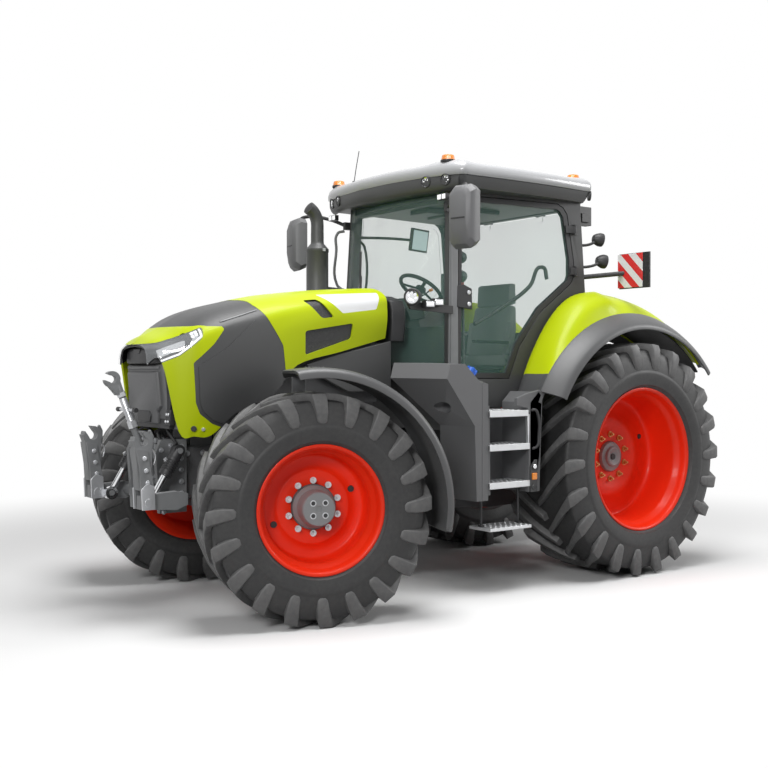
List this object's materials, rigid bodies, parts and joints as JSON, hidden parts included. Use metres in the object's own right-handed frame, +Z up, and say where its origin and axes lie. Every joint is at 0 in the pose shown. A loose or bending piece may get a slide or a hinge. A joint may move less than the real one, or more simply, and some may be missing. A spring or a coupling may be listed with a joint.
{
  "type": "farm tractor",
  "caption": "Four-wheel-drive farm tractor with a hinged hood, a glazed cab with a rear-hinged door, steered front wheels, and lifting linkages at front and rear.",
  "frame": {"origin": "on the ground under the middle of the overall box", "axes": "+X to the front, +Y to the left, +Z up"},
  "size_m": [5.1909, 2.9976, 3.4906],
  "materials": {
    "casting": "painted dark grey",
    "link_steel": "bare forged",
    "bright_steel": "machined",
    "rim": "satin",
    "tyre": "matt",
    "lime": "gloss",
    "dark_plastic": "satin",
    "grey_plastic": "satin",
    "black_plastic": "satin",
    "white": "gloss",
    "lamp": "clear",
    "glass": "tinted",
    "amber": "clear",
    "fabric": "woven",
    "step_metal": "bare",
    "sign": "film"
  },
  "bodies": {
    "chassis": {"front_frame": "casting", "engine_block": "casting", "transmission": "casting", "front_axle": "casting", "rear_fenders": "lime", "fender_flares": "dark_plastic", "hood_shields": "dark_plastic", "cab_base": "dark_plastic", "cab_frame": "dark_plastic", "cab_glass": "glass", "roof_top": "white", "roof_band": "dark_plastic", "beacons": "amber", "seat": "fabric", "console": "black_plastic", "exhaust": "black_plastic", "mirrors": "grey_plastic", "side_tanks": "grey_plastic", "steps": "step_metal", "work_lamps": "black_plastic", "warning_signs": "sign", "linkage_frame": "link_steel", "hitch": "casting"},
    "hood": {"hood_shell": "lime", "hood_dark": "dark_plastic", "hood_panels": "white", "headlamps": "lamp", "grilles": "black_plastic"},
    "door": {"door_frame": "black_plastic", "door_glass": "glass"},
    "rear_window": {"rear_window": "glass"},
    "steer_left": {"knuckle_left": "casting", "front_fender_left": "dark_plastic"},
    "steer_right": {"knuckle_right": "casting", "front_fender_right": "dark_plastic"},
    "tie_rod": {"tie_rod": "bright_steel"},
    "wheel_front_left": {"front_rim_left": "rim", "front_tyre_left": "tyre"},
    "wheel_front_right": {"front_rim_right": "rim", "front_tyre_right": "tyre"},
    "wheel_rear_left": {"rear_rim_left": "rim", "rear_tyre_left": "tyre"},
    "wheel_rear_right": {"rear_rim_right": "rim", "rear_tyre_right": "tyre"},
    "front_arms": {"front_arms": "link_steel"},
    "front_links": {"front_links": "link_steel"},
    "ram_barrels": {"ram_barrels": "black_plastic"},
    "ram_rods": {"ram_rods": "bright_steel"},
    "rear_links": {"rear_link_left": "casting", "rear_link_right": "casting"},
    "lift_arms": {"lift_arms": "casting"},
    "lift_rods": {"lift_rods": "link_steel"}
  },
  "joints": [
    {"name": "steer_left", "type": "hinge", "parent": "chassis", "child": "steer_left", "pos_m": [1.51165, 0.80746, 0.7595], "axis": [0, 0, 1], "range_deg": [-19.7, 56.3]},
    {"name": "steer_right", "type": "hinge", "parent": "chassis", "child": "steer_right", "pos_m": [1.51165, -0.87254, 0.7595], "axis": [0, 0, 1], "range_deg": [-19.7, 56.3]},
    {"name": "tie_rod_pin", "type": "hinge", "parent": "steer_left", "child": "tie_rod", "pos_m": [1.34075, 0.86398, 0.7595], "axis": [0, 0, 1], "range_deg": [-56.3, 19.7]},
    {"name": "wheel_front_left", "type": "hinge", "parent": "steer_left", "child": "wheel_front_left", "pos_m": [1.55089, 0.92613, 0.7595], "axis": [0.314, 0.9494, 0], "continuous": true},
    {"name": "wheel_front_right", "type": "hinge", "parent": "steer_right", "child": "wheel_front_right", "pos_m": [1.4724, -0.99122, 0.7595], "axis": [0.314, 0.9494, 0], "continuous": true},
    {"name": "wheel_rear_left", "type": "hinge", "parent": "chassis", "child": "wheel_rear_left", "pos_m": [-1.46835, 0.90746, 0.942], "axis": [0, 1, 0], "continuous": true},
    {"name": "wheel_rear_right", "type": "hinge", "parent": "chassis", "child": "wheel_rear_right", "pos_m": [-1.46835, -0.97254, 0.942], "axis": [0, 1, 0], "continuous": true},
    {"name": "hood_hinge", "type": "hinge", "parent": "chassis", "child": "hood", "pos_m": [0.55165, -0.03254, 2.23], "axis": [0, -1, 0], "range_deg": [0, 40]},
    {"name": "door_hinge", "type": "hinge", "parent": "chassis", "child": "door", "pos_m": [-1.1034, 0.81558, 2.49998], "axis": [-0.0053, -0.0405, 0.9992], "range_deg": [0, 70]},
    {"name": "rear_window_hinge", "type": "hinge", "parent": "chassis", "child": "rear_window", "pos_m": [-1.21835, -0.03254, 2.992], "axis": [0, 1, 0], "range_deg": [0, 45]},
    {"name": "front_lift", "type": "hinge", "parent": "chassis", "child": "front_arms", "pos_m": [2.25165, -0.03254, 0.8], "axis": [0, 1, 0], "range_deg": [0, 45]},
    {"name": "front_fold", "type": "hinge", "parent": "front_arms", "child": "front_links", "pos_m": [2.49665, -0.03254, 0.8], "axis": [0, 1, 0], "range_deg": [0, 90]},
    {"name": "ram_swing", "type": "hinge", "parent": "chassis", "child": "ram_barrels", "pos_m": [2.21165, -0.03254, 1.12], "axis": [0, 1, 0], "range_deg": [0, 12.91]},
    {"name": "ram_slide", "type": "slide", "parent": "ram_barrels", "child": "ram_rods", "axis": [0.5183, 0, -0.8552], "range_m": [0, 0.0784]},
    {"name": "rear_lift", "type": "hinge", "parent": "chassis", "child": "rear_links", "pos_m": [-1.64835, -0.03254, 0.64], "axis": [0, 1, 0], "range_deg": [-14, 30]},
    {"name": "lift_shaft", "type": "hinge", "parent": "chassis", "child": "lift_arms", "pos_m": [-1.66835, -0.03254, 1.15], "axis": [0, 1, 0], "range_deg": [-14, 30]},
    {"name": "lift_rod_pin", "type": "hinge", "parent": "lift_arms", "child": "lift_rods", "pos_m": [-2.18448, -0.03254, 1.08663], "axis": [0, 1, 0], "range_deg": [-30, 14]}
  ],
  "couplings": [
    {"joint": "steer_right", "follows": "steer_left", "ratio": 1},
    {"joint": "tie_rod_pin", "follows": "steer_left", "ratio": -1},
    {"joint": "ram_swing", "follows": "front_lift", "ratio": 0.2858},
    {"joint": "ram_slide", "follows": "front_lift", "m_per_rad": 0.09923},
    {"joint": "lift_shaft", "follows": "rear_lift", "ratio": 1},
    {"joint": "lift_rod_pin", "follows": "rear_lift", "ratio": -1}
  ]
}
